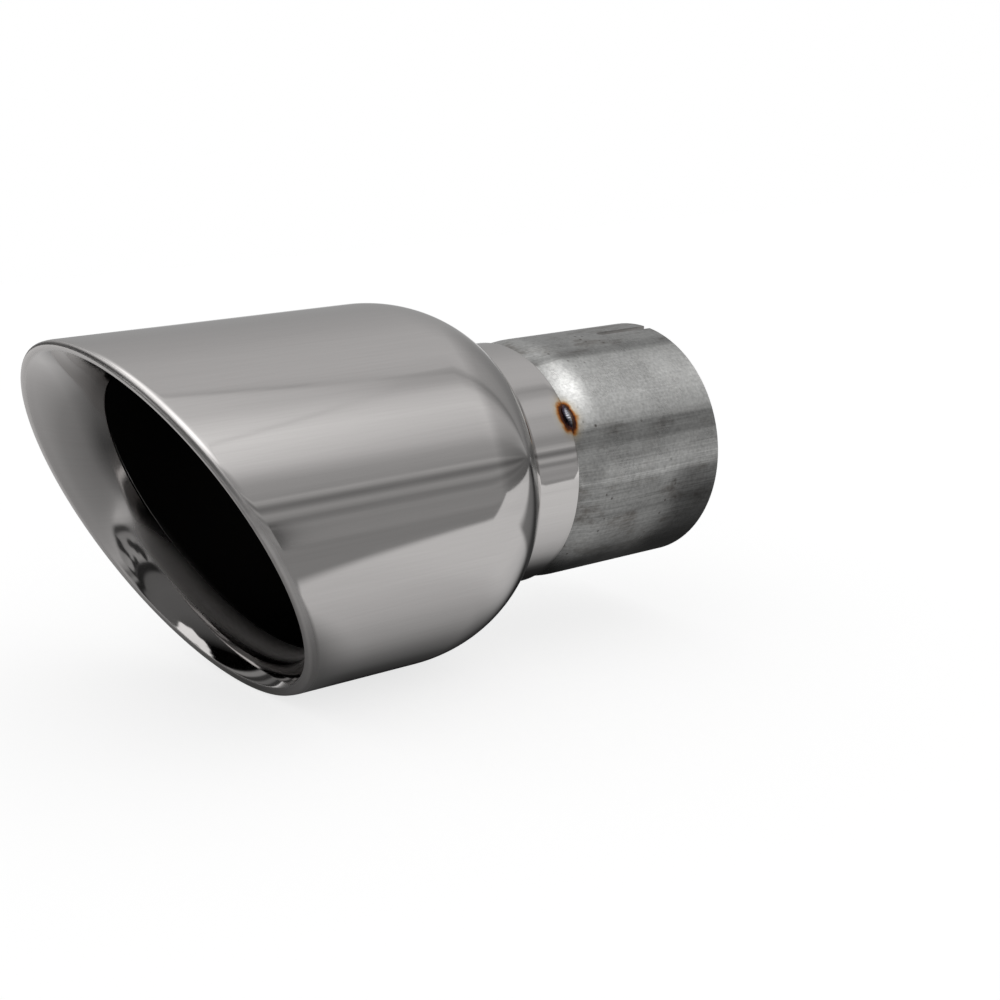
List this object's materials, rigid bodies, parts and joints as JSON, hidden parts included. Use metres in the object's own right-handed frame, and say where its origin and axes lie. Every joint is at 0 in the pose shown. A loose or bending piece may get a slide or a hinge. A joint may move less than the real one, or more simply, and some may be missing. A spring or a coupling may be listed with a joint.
{
  "type": "exhaust tip",
  "caption": "Slip-on polished exhaust tip: slotted inlet tube tack welded into a belled round shell with a slanted mouth and a rim folded in.",
  "frame": {"origin": "centre of the inlet tube's open end, on the tip's axis", "axes": "+X along the axis from the inlet to the mouth, +Z towards the long side of the slanted mouth"},
  "size_m": [0.2286, 0.1142, 0.1142],
  "materials": {
    "polished_steel": "polished stainless steel",
    "mill_steel": "mill finish with drawing lines",
    "weld_bead": "heat tinted, glossy"
  },
  "bodies": {
    "root": {"outer_shell": "polished_steel", "inlet_tube": "mill_steel", "tack_weld_1": "weld_bead", "tack_weld_2": "weld_bead", "tack_weld_3": "weld_bead"}
  },
  "joints": []
}
